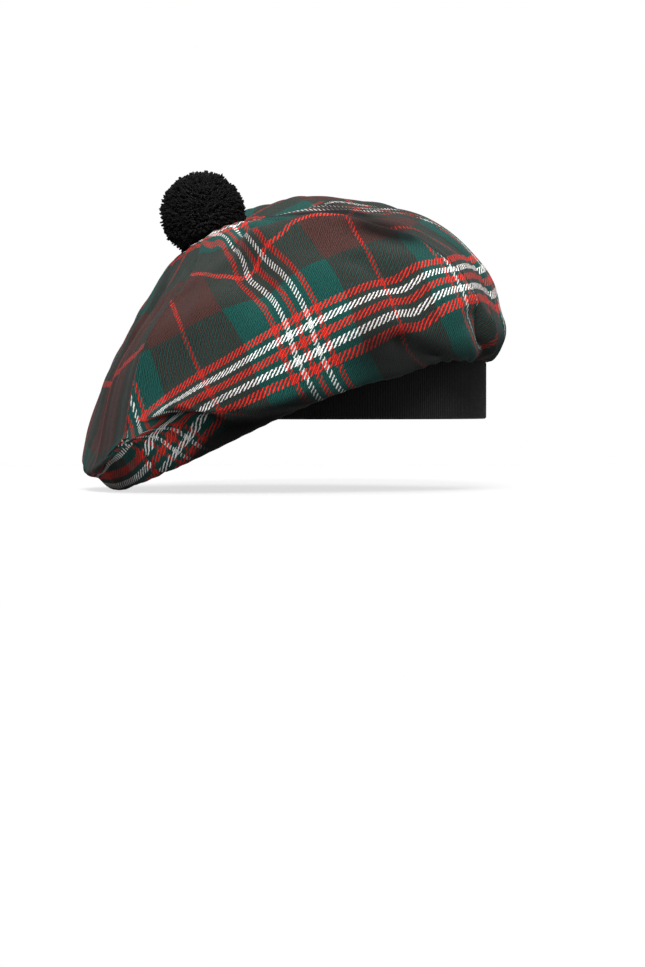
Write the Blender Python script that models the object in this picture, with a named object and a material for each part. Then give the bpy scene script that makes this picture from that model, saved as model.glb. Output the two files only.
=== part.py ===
"""Tam o shanter: six cloth gores, a ribbed headband, a gathered lining and a yarn pompom.

Metres, +Z up. The origin is the centre of the headband's bottom plane, where a head holds the hat.
The front of the hat is -Y. The crown hangs over the band at the left front, as it is worn.
"""
import math

import bmesh
import bpy
import numpy as np

# Named sizes, in metres
BAND_RADIUS = 0.094
BAND_HEIGHT = 0.035
BAND_WALL = 0.003
BAND_EDGE = 0.0012
BAND_RIBS = 96
RIB_DEPTH = 0.0004
CROWN_REACH = 0.150
CROWN_HEIGHT = 0.132
CLOTH_RUN = 0.208
SEAM_TURN = 0.0035
CLOTH = 0.0020
LINING_CLOTH = 0.0010
LINING_HEIGHT = 0.094
LINING_STEP = 0.004
LINING_FOLDS = 20
POMPOM_RADIUS = 0.0258
LOCK_TIPS = 162
GAP = 0.0004

# The crown in rings, from its centre over the rim and under to the band. Station is a share of
# CLOTH_RUN, the length of the cloth from the centre to the band. Reaches to the left, right, front and back are shares of CROWN_REACH, and the
# heights at the same four places are shares of CROWN_HEIGHT.
RING_COLUMNS = ("station", "left", "right", "front", "back", "left_up", "right_up", "front_up", "back_up")
RINGS = (
    (0.000, 0.47, -0.47, 0.13, -0.13, 0.795, 0.795, 0.795, 0.795),
    (0.159, 0.66, -0.27, 0.35, 0.09, 0.72, 0.92, 0.86, 0.905),
    (0.293, 0.76, -0.07, 0.55, 0.29, 0.54, 0.985, 0.78, 0.96),
    (0.433, 0.85, 0.14, 0.72, 0.49, 0.34, 0.975, 0.70, 0.93),
    (0.572, 0.93, 0.37, 0.86, 0.69, 0.13, 0.925, 0.58, 0.87),
    (0.707, 1.00, 0.59, 0.92, 0.81, -0.10, 0.74, 0.40, 0.70),
    (0.774, 1.01, 0.65, 0.93, 0.84, -0.23, 0.64, 0.29, 0.61),
    (0.841, 0.96, 0.69, 0.91, 0.85, -0.27, 0.52, 0.18, 0.49),
    (0.913, 0.82, 0.705, 0.83, 0.80, -0.19, 0.39, 0.09, 0.38),
)
# The front left corner: how far it hangs and how far it stands out, as shares of CROWN_REACH
LOBE_COLUMNS = ("station", "hang", "stand")
LOBE = (
    (0.000, 0.00, 0.00),
    (0.293, 0.00, 0.00),
    (0.433, -0.03, 0.00),
    (0.572, -0.04, 0.02),
    (0.707, 0.09, 0.02),
    (0.774, 0.01, 0.03),
    (0.841, -0.05, 0.03),
    (0.913, 0.06, 0.04),
)
LOBE_ANGLE = math.radians(-142)
LOBE_HALF_ANGLE = math.radians(62)
# Seams between the gores: angle at the crown's centre and angle at the rim, in degrees
SEAM_COLUMNS = ("at_centre", "at_rim")
SEAMS = (
    (-104, -136),
    (-56, -31),
    (0, 16),
    (60, 69),
    (120, 121),
    (184, 172),
    (256, 224),
)
# Folds: a line from one place on the cloth to another, its half width and its height. The place
# round the crown counts gores, and the rest is in shares of CROWN_REACH.
FOLD_COLUMNS = ("around_1", "along_1", "around_2", "along_2", "half_width", "height")
FOLDS = (
    (0.50, 0.56, 0.88, 0.63, 0.11, 0.065),
    (0.60, 0.38, 1.00, 0.52, 0.07, -0.050),
    (0.40, 0.45, 0.44, 0.78, 0.06, -0.030),
    (0.10, 0.98, 0.30, 1.12, 0.05, 0.020),
    (2.30, 0.50, 2.10, 0.90, 0.07, -0.030),
    (3.55, 0.45, 3.40, 0.85, 0.08, -0.030),
    (4.40, 0.50, 4.65, 0.90, 0.07, -0.030),
    (5.50, 0.40, 5.40, 0.90, 0.07, -0.025),
)
CORNER_SHARE = 0.05
BELLY_SHARE = 0.016
GATHER_SHARE = 0.008
GATHERS_PER_GORE = (12, 6, 6, 6, 6, 6)
STATION_AT_TOP = 0.043


def smooth(x):
    """Ease from 0 to 1 with level ends."""
    x = np.clip(x, 0.0, 1.0)
    return x * x * (3.0 - 2.0 * x)


def along(rows, x):
    """Smooth curve through the rows of a table: the first column is x, each other one a value."""
    table = np.array(rows, float)
    xs = table[:, 0]
    ys = table[:, 1:]
    step = np.diff(xs)
    slope = np.diff(ys, axis=0) / step[:, None]
    tangent = np.zeros_like(ys)
    weight = (step[1:] + step[:-1])[:, None]
    tangent[1:-1] = (slope[:-1] * step[1:, None] + slope[1:] * step[:-1, None]) / weight
    tangent[0] = slope[0]
    tangent[-1] = slope[-1]
    flat = x.ravel()
    i = np.clip(np.searchsorted(xs, flat, side="right") - 1, 0, len(xs) - 2)
    h = step[i][:, None]
    t = (flat[:, None] - xs[i][:, None]) / h
    a = (2 * t ** 3 - 3 * t ** 2 + 1) * ys[i] + (t ** 3 - 2 * t ** 2 + t) * h * tangent[i]
    b = (3 * t ** 2 - 2 * t ** 3) * ys[i + 1] + (t ** 3 - t ** 2) * h * tangent[i + 1]
    return np.moveaxis((a + b).reshape(x.shape + (ys.shape[1],)), -1, 0)


def crown_rows():
    """The rings in metres, with the last ones on the band's top edge."""
    rows = []
    for row in RINGS:
        reach = [share * CROWN_REACH for share in row[1:5]]
        height = [share * CROWN_HEIGHT for share in row[5:9]]
        rows.append([row[0]] + reach + height)
    over = BAND_RADIUS + SEAM_TURN
    lift = BAND_HEIGHT + GAP + 0.3 * CLOTH
    rows.append([0.964] + [over] * 4 + [lift] * 4)
    edge = BAND_RADIUS - 0.6 * BAND_WALL
    rows.append([1.0] + [edge] * 4 + [lift] * 4)
    return rows


def crown_angle(around, station):
    """Angle of a place on the crown: even between the two seams of its gore."""
    seams = np.radians(np.array(SEAMS, float))
    gore = np.clip(np.floor(around).astype(int), 0, 5)
    share = around - gore
    turn = smooth(station / 0.72)
    first = seams[gore, 0] + (seams[gore, 1] - seams[gore, 0]) * turn
    last = seams[gore + 1, 0] + (seams[gore + 1, 1] - seams[gore + 1, 0]) * turn
    return first + (last - first) * share, share


def crown_base(around, station):
    """The crown without its folds: rings through the left, right, front and back of each station."""
    left, right, front, back, left_up, right_up, front_up, back_up = along(crown_rows(), station)
    hang, stand = along(LOBE + ((1.0, 0.0, 0.0),), station) * CROWN_REACH
    angle, share = crown_angle(around, station)
    c = np.cos(angle)
    s = np.sin(angle)
    open_cloth = smooth((station - 0.10) / 0.29) * (1.0 - smooth((station - 0.79) / 0.145))
    corner = 1.0 + CORNER_SHARE * open_cloth * (1.5 * (2.0 * share - 1.0) ** 2 - 0.5)
    x = 0.5 * (right - left) + 0.5 * (right + left) * c * corner
    y = 0.5 * (back - front) + 0.5 * (back + front) * s * corner
    mean = 0.25 * (left_up + right_up + front_up + back_up)
    saddle = 0.25 * (left_up + right_up - front_up - back_up)
    z = mean + 0.5 * (right_up - left_up) * c + 0.5 * (back_up - front_up) * s + saddle * np.cos(2.0 * angle)
    turn = (angle - LOBE_ANGLE + math.pi) % (2.0 * math.pi) - math.pi
    near = 0.5 + 0.5 * np.cos(math.pi * np.clip(turn / LOBE_HALF_ANGLE, -1.0, 1.0))
    return np.stack([x + stand * near * c, y + stand * near * s, z - hang * near], -1)


def crown_lift(around, station):
    """Height of the folds, gore bellies and gathers over the base surface."""
    gore = np.clip(np.floor(around).astype(int), 0, 5)
    share = around - gore
    open_cloth = smooth((station - 0.145) / 0.24) * (1.0 - smooth((station - 0.72) / 0.145))
    belly = 4.0 * share * (1.0 - share) - 0.6
    lift = BELLY_SHARE * CROWN_REACH * belly * open_cloth
    count = np.array(GATHERS_PER_GORE, float)[gore]
    gathered = smooth((station - 0.79) / 0.10) * (1.0 - smooth((station - 0.923) / 0.038))
    lift = lift + GATHER_SHARE * CROWN_REACH * gathered * np.cos(2.0 * math.pi * count * share)
    for around_1, along_1, around_2, along_2, half_width, height in FOLDS:
        run_x = (around_2 - around_1) * 0.8
        run_y = along_2 - along_1
        x = (around - around_1) * 0.8
        y = station * CLOTH_RUN / CROWN_REACH - along_1
        t = (x * run_x + y * run_y) / (run_x ** 2 + run_y ** 2)
        off = np.hypot(x - np.clip(t, 0, 1) * run_x, y - np.clip(t, 0, 1) * run_y)
        lift = lift + height * CROWN_REACH * np.exp(-(off / half_width) ** 2)
    return lift


def cross(a, b):
    """Unit cross product of two arrays of vectors."""
    n = np.cross(a, b)
    return n / np.maximum(np.linalg.norm(n, axis=-1, keepdims=True), 1e-12)


def crown_surface(around, station):
    """Outer face of the crown and its outward direction."""
    da = 0.01
    ds = 0.004
    low = np.maximum(station - ds, 0.0025)
    high = np.minimum(station + ds, 1.0)

    def place(a, s):
        a = a % 6.0
        step_a = 0.01
        base = crown_base(a, s)
        side = crown_base((a + step_a) % 6.0, s) - crown_base((a - step_a) % 6.0, s)
        ahead = crown_base(a, np.minimum(s + ds, 1.0)) - crown_base(a, np.maximum(s - ds, 0.0025))
        return base + cross(ahead, side) * crown_lift(a, s)[..., None]

    point = place(around, station)
    side = place(around + da, station) - place(around - da, station)
    ahead = place(around, high) - place(around, low)
    return point, cross(ahead, side)


def closed_sheet(name, outer, inner, ring):
    """Closed solid between two grids of points. A ring grid closes on itself along its first axis."""
    n, m = outer.shape[:2]
    points = np.concatenate([outer.reshape(-1, 3), inner.reshape(-1, 3)])
    half = n * m
    faces = []
    for i in range(n if ring else n - 1):
        for j in range(m - 1):
            k = (i + 1) % n
            quad = (i * m + j, i * m + j + 1, k * m + j + 1, k * m + j)
            faces.append(quad)
            faces.append(tuple(half + v for v in reversed(quad)))
        k = (i + 1) % n
        faces.append((i * m, k * m, half + k * m, half + i * m))
        faces.append((half + i * m + m - 1, half + k * m + m - 1, k * m + m - 1, i * m + m - 1))
    if not ring:
        for j in range(m - 1):
            last = (n - 1) * m
            faces.append((j + 1, j, half + j, half + j + 1))
            faces.append((last + j, last + j + 1, half + last + j + 1, half + last + j))
    return make_object(name, points, faces)


def make_object(name, points, faces):
    """A mesh object with its faces turned outward."""
    mesh = bpy.data.meshes.new(name)
    mesh.from_pydata([tuple(p) for p in points.tolist()], [], faces)
    work = bmesh.new()
    work.from_mesh(mesh)
    bmesh.ops.recalc_face_normals(work, faces=work.faces)
    if work.calc_volume(signed=True) < 0:
        bmesh.ops.reverse_faces(work, faces=work.faces)
    bmesh.ops.triangulate(work, faces=work.faces)
    work.to_mesh(mesh)
    work.free()
    thing = bpy.data.objects.new(name, mesh)
    bpy.context.collection.objects.link(thing)
    return thing


def material(name, colour, roughness):
    """A plain cloth material."""
    made = bpy.data.materials.new(name)
    made.use_nodes = True
    shader = made.node_tree.nodes["Principled BSDF"]
    shader.inputs["Base Color"].default_value = colour
    shader.inputs["Roughness"].default_value = roughness
    made.diffuse_color = colour
    return made


def crown_panel(gore, cloth):
    """One gore, from the crown's centre over the rim and under to the band."""
    columns = 2 * GATHERS_PER_GORE[gore]
    stations = np.array([STATION_AT_TOP, 0.096, 0.159, 0.226, 0.293, 0.361, 0.433, 0.505, 0.572, 0.639, 0.707,
                         0.760, 0.808, 0.856, 0.899, 0.933, 0.964, 1.0])
    share = np.linspace(0.0, 1.0, columns + 1)
    around = gore + share[:, None] * np.ones_like(stations)[None, :]
    station = np.ones_like(share)[:, None] * stations[None, :]
    point, _ = crown_surface(around, station)
    width = np.linalg.norm(np.diff(point, axis=0), axis=-1).sum(0)
    inset = 0.5 * GAP / width
    around = gore + inset + share[:, None] * (1.0 - 2.0 * inset)[None, :]
    point, out = crown_surface(around, station)
    panel = closed_sheet("crown_panel_%d" % (gore + 1), point, point - out * CLOTH, False)
    panel.data.materials.append(cloth)
    return panel


def headband(knit):
    """The ribbed band: its outer face steps in and out from rib to rib."""
    turns = np.linspace(0.0, 2.0 * math.pi, BAND_RIBS, endpoint=False)
    rib = np.where(np.arange(BAND_RIBS) % 2 == 0, 0.0, -RIB_DEPTH)
    profile = ((1, BAND_EDGE, 0.0), (1, 0.0, BAND_EDGE), (1, 0.0, BAND_HEIGHT - BAND_EDGE), (1, BAND_EDGE, BAND_HEIGHT),
               (0, 0.0, BAND_HEIGHT), (0, 0.0, 0.0))
    grid = np.zeros((BAND_RIBS, len(profile), 3))
    for j, (outside, inward, height) in enumerate(profile):
        radius = BAND_RADIUS - inward + rib if outside else BAND_RADIUS - BAND_WALL + 0.0 * rib
        grid[:, j] = np.stack([radius * np.cos(turns), radius * np.sin(turns), height + 0.0 * turns], -1)
    m = len(profile)
    faces = []
    for i in range(BAND_RIBS):
        k = (i + 1) % BAND_RIBS
        for j in range(m):
            n = (j + 1) % m
            faces.append((i * m + j, k * m + j, k * m + n, i * m + n))
    band = make_object("headband", grid.reshape(-1, 3), faces)
    band.data.materials.append(knit)
    return band


def lining(satin):
    """The lining: up from inside the band to a gathered point, in radial folds."""
    columns = 2 * LINING_FOLDS
    turns = np.linspace(0.0, 2.0 * math.pi, columns, endpoint=False)
    rim = BAND_RADIUS - BAND_WALL - GAP - LINING_CLOTH
    low = 0.55 * BAND_HEIGHT
    straight = BAND_HEIGHT + LINING_STEP
    rows = [(1.0, low, 0.0), (1.0, 0.5 * (low + straight), 0.0), (1.0, straight, 0.0)]
    for t in (0.18, 0.38, 0.58, 0.76, 0.90, 0.975):
        rise = math.sin(0.5 * math.pi * t)
        rows.append((math.cos(0.5 * math.pi * t), straight + (LINING_HEIGHT - straight) * rise, 1.0))
    lean = -0.10 * BAND_RADIUS
    grid = np.zeros((columns, len(rows), 3))
    for j, (share, height, folded) in enumerate(rows):
        depth = 0.022 * folded * (1.0 - share) ** 0.5 * share ** 0.5
        wave = np.where(np.arange(columns) % 2 == 0, -depth, 0.0)
        radius = rim * share * (1.0 + 3.0 * wave)
        slide = lean * (height - straight) / (LINING_HEIGHT - straight) if height > straight else 0.0
        grid[:, j] = np.stack([slide + radius * np.cos(turns), radius * np.sin(turns), height + 0.0 * turns], -1)
    side = np.roll(grid, -1, 0) - np.roll(grid, 1, 0)
    ahead = np.gradient(grid, axis=1)
    out = cross(side, ahead)
    made = closed_sheet("lining", grid + out * LINING_CLOTH, grid, True)
    made.data.materials.append(satin)
    return made


def pompom(yarn):
    """The pompom: a head whose every face is drawn out in a short lock of yarn."""
    top, out = crown_surface(np.array([[0.5]]), np.array([[0.005]]))
    lean = np.array([-0.42, 0.0, 0.908])
    centre = top[0, 0] + lean * POMPOM_RADIUS * 0.92
    work = bmesh.new()
    bmesh.ops.create_icosphere(work, subdivisions=4, radius=1.0)
    faces = [tuple(v.index for v in f.verts) for f in work.faces]
    points = np.array([tuple(v.co) for v in work.verts])
    work.free()
    count = len(points)
    phase = np.arange(count)
    reach = 0.95 + 0.03 * np.sin(phase * 2.399)
    reach = np.where(phase < LOCK_TIPS, reach + 0.05, reach - 0.03)
    solid = centre + points * POMPOM_RADIUS * reach[:, None]
    a, s = np.meshgrid(np.linspace(0.0, 5.98, 90), np.linspace(0.01, 0.30, 40), indexing="ij")
    cloth, up = crown_surface(a, s)
    cloth = cloth.reshape(-1, 3)
    up = up.reshape(-1, 3)
    for _ in range(6):
        away = np.linalg.norm(solid[:, None] - cloth[None], axis=-1)
        nearest = away.argmin(1)
        height = ((solid - cloth[nearest]) * up[nearest]).sum(-1)
        short = np.maximum(1.75 * GAP - height, 0.0) * (away.min(1) < POMPOM_RADIUS)
        solid = solid + up[nearest] * short[:, None]
    made = make_object("pompom", solid, faces)
    made.data.materials.append(yarn)
    return made


def main():
    for thing in list(bpy.data.objects):
        bpy.data.objects.remove(thing, do_unlink=True)
    cloth = material("tartan_cloth", (0.10, 0.13, 0.11, 1.0), 0.9)
    knit = material("black_knit", (0.008, 0.008, 0.009, 1.0), 0.8)
    satin = material("dark_satin", (0.02, 0.018, 0.026, 1.0), 0.35)
    yarn = material("black_yarn", (0.006, 0.006, 0.007, 1.0), 0.95)
    for gore in range(6):
        crown_panel(gore, cloth)
    headband(knit)
    lining(satin)
    pompom(yarn)


main()
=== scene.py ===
"""Tam o shanter: the looks of the hat, its studio and its camera, in the frame of the CAD part."""
import functools
import math

import bmesh
import bpy
import numpy as np
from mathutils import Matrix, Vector
from bpy.props import FloatProperty, FloatVectorProperty, IntProperty, PointerProperty


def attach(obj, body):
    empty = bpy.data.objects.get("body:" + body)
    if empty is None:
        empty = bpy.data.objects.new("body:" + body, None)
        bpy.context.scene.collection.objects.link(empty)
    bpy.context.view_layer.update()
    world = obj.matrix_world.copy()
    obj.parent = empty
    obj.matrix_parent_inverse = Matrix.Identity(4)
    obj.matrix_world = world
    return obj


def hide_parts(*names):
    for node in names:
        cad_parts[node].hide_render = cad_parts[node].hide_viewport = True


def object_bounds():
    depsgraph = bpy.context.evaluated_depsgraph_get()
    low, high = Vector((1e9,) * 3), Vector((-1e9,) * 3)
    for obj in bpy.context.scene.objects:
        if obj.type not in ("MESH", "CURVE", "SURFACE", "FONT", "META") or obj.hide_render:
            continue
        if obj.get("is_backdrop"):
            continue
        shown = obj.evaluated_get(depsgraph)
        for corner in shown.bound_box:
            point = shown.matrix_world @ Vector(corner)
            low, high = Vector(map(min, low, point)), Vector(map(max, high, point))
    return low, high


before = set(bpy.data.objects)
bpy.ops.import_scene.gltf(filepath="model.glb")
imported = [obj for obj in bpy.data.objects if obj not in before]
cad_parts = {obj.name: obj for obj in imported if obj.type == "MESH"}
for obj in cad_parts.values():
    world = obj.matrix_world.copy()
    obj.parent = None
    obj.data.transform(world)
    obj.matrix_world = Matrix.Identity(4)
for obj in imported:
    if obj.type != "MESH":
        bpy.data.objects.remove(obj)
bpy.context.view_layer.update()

bl_info = {
    "name": "Tam o shanter",
    "version": (1, 0, 0),
    "blender": (4, 5, 0),
    "location": "View3D > Sidebar > Hat",
    "description": "A tartan tam o shanter with a ribbed band, a gathered lining and a yarn pompom",
    "category": "Add Mesh",
}

MM = 0.001
# Sizes of the part, in metres
BAND_RADIUS = 0.094
BAND_HEIGHT = 0.035
BAND_WALL = 0.003
CROWN_REACH = 0.150
CROWN_HEIGHT = 0.132
CLOTH_RUN = 0.208
SEAM_TURN = 0.0035
CLOTH = 0.0020
LINING_CLOTH = 0.0010
LINING_HEIGHT = 0.094
LINING_STEP = 0.004
POMPOM_RADIUS = 0.0258
GAP = 0.0004

GORES = 6
# The crown in rings: station, reach to the left, right, front and back, and height there. Station is a
# share of CLOTH_RUN from the crown's centre to the band, reaches are shares of CROWN_REACH and heights
# shares of CROWN_HEIGHT.
RINGS = (
    (0.000, 0.47, -0.47, 0.13, -0.13, 0.795, 0.795, 0.795, 0.795),
    (0.159, 0.66, -0.27, 0.35, 0.09, 0.72, 0.92, 0.86, 0.905),
    (0.293, 0.76, -0.07, 0.55, 0.29, 0.54, 0.985, 0.78, 0.96),
    (0.433, 0.85, 0.14, 0.72, 0.49, 0.34, 0.975, 0.70, 0.93),
    (0.572, 0.93, 0.37, 0.86, 0.69, 0.13, 0.925, 0.58, 0.87),
    (0.707, 1.00, 0.59, 0.92, 0.81, -0.10, 0.74, 0.40, 0.70),
    (0.774, 1.01, 0.65, 0.93, 0.84, -0.23, 0.64, 0.29, 0.61),
    (0.841, 0.96, 0.69, 0.91, 0.85, -0.27, 0.52, 0.18, 0.49),
    (0.913, 0.82, 0.705, 0.83, 0.80, -0.19, 0.39, 0.09, 0.38),
)
# The front left corner: station, how far it hangs and how far it stands out, as shares of CROWN_REACH
LOBE = (
    (0.000, 0.00, 0.00),
    (0.293, 0.00, 0.00),
    (0.433, -0.03, 0.00),
    (0.572, -0.04, 0.02),
    (0.707, 0.09, 0.02),
    (0.774, 0.01, 0.03),
    (0.841, -0.05, 0.03),
    (0.913, 0.06, 0.04),
)
LOBE_ANGLE = math.radians(-142)
LOBE_HALF_ANGLE = math.radians(62)
# Seams between the gores: angle at the crown's centre and angle at the rim, in degrees
SEAMS = (
    (-104, -136),
    (-56, -31),
    (0, 16),
    (60, 69),
    (120, 121),
    (184, 172),
    (256, 224),
)
# Folds: where each starts and ends, in gores round the crown and shares of CROWN_REACH along it, with its
# half width and height as shares of CROWN_REACH
FOLDS = (
    (0.50, 0.56, 0.88, 0.63, 0.11, 0.065),
    (0.60, 0.38, 1.00, 0.52, 0.07, -0.050),
    (0.40, 0.45, 0.44, 0.78, 0.06, -0.030),
    (0.10, 0.98, 0.30, 1.12, 0.05, 0.020),
    (2.30, 0.50, 2.10, 0.90, 0.07, -0.030),
    (3.55, 0.45, 3.40, 0.85, 0.08, -0.030),
    (4.40, 0.50, 4.65, 0.90, 0.07, -0.030),
    (5.50, 0.40, 5.40, 0.90, 0.07, -0.025),
)
# Sharper folds that only the looks have, in the same columns
SMALL_FOLDS = (
    (0.86, 0.575, 1.03, 0.740, 0.042, -0.052),
    (0.80, 0.640, 0.99, 0.820, 0.040, 0.014),
    (0.36, 0.640, 0.43, 0.840, 0.055, -0.020),
    (0.74, 0.860, 0.79, 1.120, 0.038, -0.026),
    (0.86, 0.900, 0.90, 1.130, 0.050, 0.016),
    (0.72, 1.170, 0.80, 1.240, 0.030, -0.040),
    (0.60, 1.170, 0.66, 1.230, 0.035, 0.020),
    (0.98, 1.140, 1.01, 1.240, 0.035, -0.045),
    (0.90, 1.200, 0.93, 1.270, 0.032, 0.022),
    (1.08, 1.180, 1.10, 1.270, 0.032, 0.024),
    (0.10, 0.600, 0.16, 0.900, 0.050, -0.014),
    (0.00, 0.550, 0.00, 0.930, 0.012, 0.012),
    (1.45, 0.900, 1.50, 1.220, 0.050, -0.020),
    (2.62, 0.850, 2.55, 1.200, 0.050, -0.022),
    (3.30, 0.880, 3.38, 1.210, 0.050, -0.020),
    (4.45, 0.850, 4.38, 1.200, 0.050, -0.022),
    (5.38, 1.180, 5.56, 1.175, 0.075, 0.020),
)
# Creases darkened with painted shade, in the same columns, with the share of light that the painted shade
# takes out as the last
PAINTED_CREASE_SHADE = (
    (1.95, 0.420, 1.25, 0.555, 0.060, 0.75),
    (1.25, 0.555, 0.98, 0.745, 0.095, 0.90),
    (1.22, 0.300, 1.27, 0.540, 0.100, 0.72),
    (0.88, 0.745, 0.95, 0.820, 0.030, 0.50),
    (0.64, 1.165, 0.75, 1.220, 0.065, 0.95),
    (5.62, 0.850, 5.68, 1.080, 0.120, 0.38),
)
# The lip where the front gore turns under: place round the crown, station, depth as a share of CROWN_REACH
LIP = (
    (0.00, 0.660, 0.000),
    (0.110, 0.722, 0.016),
    (0.175, 0.766, 0.045),
    (0.222, 0.835, 0.065),
    (0.280, 0.856, 0.070),
    (0.367, 0.872, 0.050),
    (0.460, 0.900, 0.000),
    (6.00, 0.900, 0.000),
)
# Length of cloth in metres over which it turns under the lip, and over which the lip's edge is rolled,
# with the roll's height as a share of the lip's depth
LIP_TURN = 0.0045
ROLL_WIDTH = 0.004
ROLL_SHARE = 0.25
# Where the cloth is pulled out of line: gore or -1 for all, place round the crown, station, the pull's
# half width in each, and the shift of the pattern across and along in mm
PULLS = (
    (0, 0.60, 0.45, 0.50, 0.11, 0.0, -7.0),
    (0, 0.40, 0.51, 0.09, 0.06, 3.0, -8.0),
    (0, 0.17, 0.40, 0.10, 0.10, 0.0, 8.0),
    (0, -0.02, 0.33, 0.16, 0.12, 0.0, 26.0),
    (0, 0.15, 0.69, 0.15, 0.08, 3.0, 5.0),
    (0, 0.20, 0.60, 0.14, 0.15, 3.5, 0.0),
    (0, 0.70, 0.44, 0.08, 0.08, 0.0, 5.0),
    (0, 0.90, 0.49, 0.12, 0.06, 0.0, -6.0),
    (0, 0.54, 0.42, 0.12, 0.10, 5.0, 0.0),
    (-1, 1.00, 0.77, 0.35, 0.15, 0.0, 12.5),
    (0, 0.79, 0.77, 0.045, 0.12, 0.0, -3.5),
    (1, 1.50, 0.68, 2.00, 0.19, -26.0, 0.0),
    (5, 5.20, 0.74, 0.50, 0.20, 10.0, 0.0),
    (5, 5.50, 0.60, 2.00, 0.26, 0.0, -28.0),
    (-1, 0.58, 0.15, 0.60, 0.09, 0.0, -17.0),
    (0, 0.32, 0.27, 0.10, 0.07, -6.0, 0.0),
    (5, 5.80, 0.890, 0.40, 0.08, 0.0, -12.0),
    (2, 2.10, 0.34, 0.30, 0.06, -7.0, 0.0),
    (1, 1.50, 0.42, 0.50, 0.12, 6.0, 3.0),
)
# The cloth tucked under the lip lies askew: its shear and the station where it starts, how far it has
# slipped in metres, and the places round the crown where both end
UNDER_SHEAR = 0.25
SHEAR_STATION = 0.77
SHEAR_END = (0.30, 0.10)
UNDER_SLIP = 0.026
SLIP_END = 0.26
# Stations: where the gores start under the pompom, the rim where the seams have their last angle, and
# the band's edge
STATION_AT_TOP = 0.043
RIM_STATION = 0.72
STATION_AT_BAND = 0.964
# The cloth's edge on the band: its lift as a share of CLOTH and its reach inwards as one of BAND_WALL
EDGE_LIFT = 0.3
EDGE_REACH = 0.6
# Half the gap between two gores in metres, and how far a spare column stands off, as a share of a gore
SEAM_INSET = 0.0001
SPARE_SHARE = 0.004
# Width that a gore counts for in the tables of folds, as a share of CROWN_REACH
GORE_WIDTH = 0.8
# How far the corners at the seams and the gores' bellies stand out, as shares, and the bellies' zero
CORNER_SHARE = 0.05
BELLY_SHARE = 0.016
BELLY_LEVEL = 0.6
# The most of its flat size's box that a gore's cloth fills, as a share
FLAT_SHARE = 0.98
# Gathers at the band in each gore
GATHERS = (24, 12, 12, 12, 12, 12)
# Fine forms in metres
SEAM_DIP = 0.0011
SEAM_HALF_WIDTH = 0.0022
GATHER_HEIGHT = 0.0009
TUCK_HEIGHT = 0.0006
WAVE_HEIGHT = 0.0006
# A ramp is where a form starts and over what length it comes up. A stretch is a ramp up and a ramp down.
# These are stations: the corners, the bellies, the seams' dips, the gathers, the tucks at the centre, the
# small waves, and where the band holds the cloth.
CORNER_STRETCH = (0.10, 0.29, 0.79, 0.145)
BELLY_STRETCH = (0.145, 0.24, 0.72, 0.145)
SEAM_STRETCH = (0.04, 0.10, 0.90, 0.08)
GATHER_STRETCH = (0.885, 0.06, 0.955, 0.035)
TUCK_STRETCH = (0.02, 0.05, 0.10, 0.16)
WAVE_STRETCH = (0.20, 0.15, 0.82, 0.10)
HELD_RAMP = (0.93, 0.05)
# Painted shade, as shares of the light taken out of the cloth's colour: on the tucked plane, more close
# under the lip as a painted shadow, in the wedge, towards the band, and at most in a crease
PAINTED_PLANE_SHADE = 0.42
PAINTED_SHADOW_UNDER_LIP = 0.558
PAINTED_WEDGE_SHADE = 0.96
PAINTED_BAND_SHADE = 0.62
PAINTED_CREASE_LIMIT = 0.85
# Where the painted shade lies: ramps round the crown for the plane's two ends and the lip's painted
# shadow, that shadow's width in metres, and the band's ramp of stations
UNDER_START = (0.04, 0.08)
UNDER_END = (0.42, 0.08)
LIP_SHADOW_RAMP = (0.08, 0.05)
LIP_SHADOW = 0.009
BAND_RAMP = (0.84, 0.08)
# The edge of the painted shade in the wedge: its station at a place round the crown, how it falls from
# there, its least station and the length of its blur
WEDGE_STATION = 0.885
WEDGE_START = 0.09
WEDGE_SLANT = 0.28
WEDGE_LEAST = 0.860
WEDGE_BLUR = 0.018
# The pattern: distance in metres of a red ring from the crown's centre, the station past which it follows
# the gathered cloth, the slack of that cloth, and each gore's shift across in mm
PATTERN_RING = 0.161
PATTERN_STATION = 0.86
CLOTH_STRETCH = 1.08
PATTERN_SHIFTS = (4.0, -6.0, 40.0, -12.0, -30.0, 42.0)
# Stripes in metres: the step between the lines of a cluster, the half widths of its red and white lines
# and of the single red line, and the half widths of the green ground across and along a gore
WARP_STEP = 0.00625
WARP_HALVES = (0.0016, 0.0015, 0.00135)
WEFT_STEP = 0.00706
WEFT_HALVES = (0.00215, 0.00195, 0.00135)
GREEN_ACROSS = 0.030
GREEN_ALONG = 0.041
# How unevenly stripes and threads lie, in metres
LINE_WOBBLE = 0.00025
THREAD_WOBBLE = 0.0009
# The ground's share of the other direction's colour, and the light lost where the two grounds differ
GROUND_MIX = 0.20
CROSSED_LOSS = 0.24
# Run of the twill's strokes across a gore for each metre along it. Their repeat, the setting Twill repeat,
# is coarser than the threads of fine cloth, so that the twill shows as it does in the photograph.
TWILL_SLOPE = 1.15
# Noises, as lumps in a metre: fibres of 0.7 mm, threads of 1.2 mm, loose weave of 4 mm, worn patches of
# 17 mm, the satin's clouds of 11 mm and the yarn's fibres of 0.7 mm. Fibres are drawn coarser than real
# ones, which are too fine to show.
FIBRE_NOISE = 1500.0
THREAD_NOISE = 800.0
LOOSE_NOISE = 260.0
WORN_NOISE = 60.0
CLOUD_NOISE = 90.0
YARN_NOISE = 1400.0
# Half a stitch of the knit and half a repeat of the satin's threads, in metres
STITCH = 0.0011
SATIN_THREAD = 0.0002
SATIN_COLOURS = ("#3A3641", "#5A5563")
YARN_COLOURS = ("#030303", "#121111")
# The band: radius of its outer edges, and the step and drop of its inner ones, in metres. Columns of the
# mesh to a rib, how square the ribs are, and their depth at the edges as a share.
BAND_EDGE = 0.0013
INNER_STEP = 0.0004
INNER_DROP = 0.0006
RIB_COLUMNS = 5
RIB_POWER = 0.6
EDGE_RIB = 0.7
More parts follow.
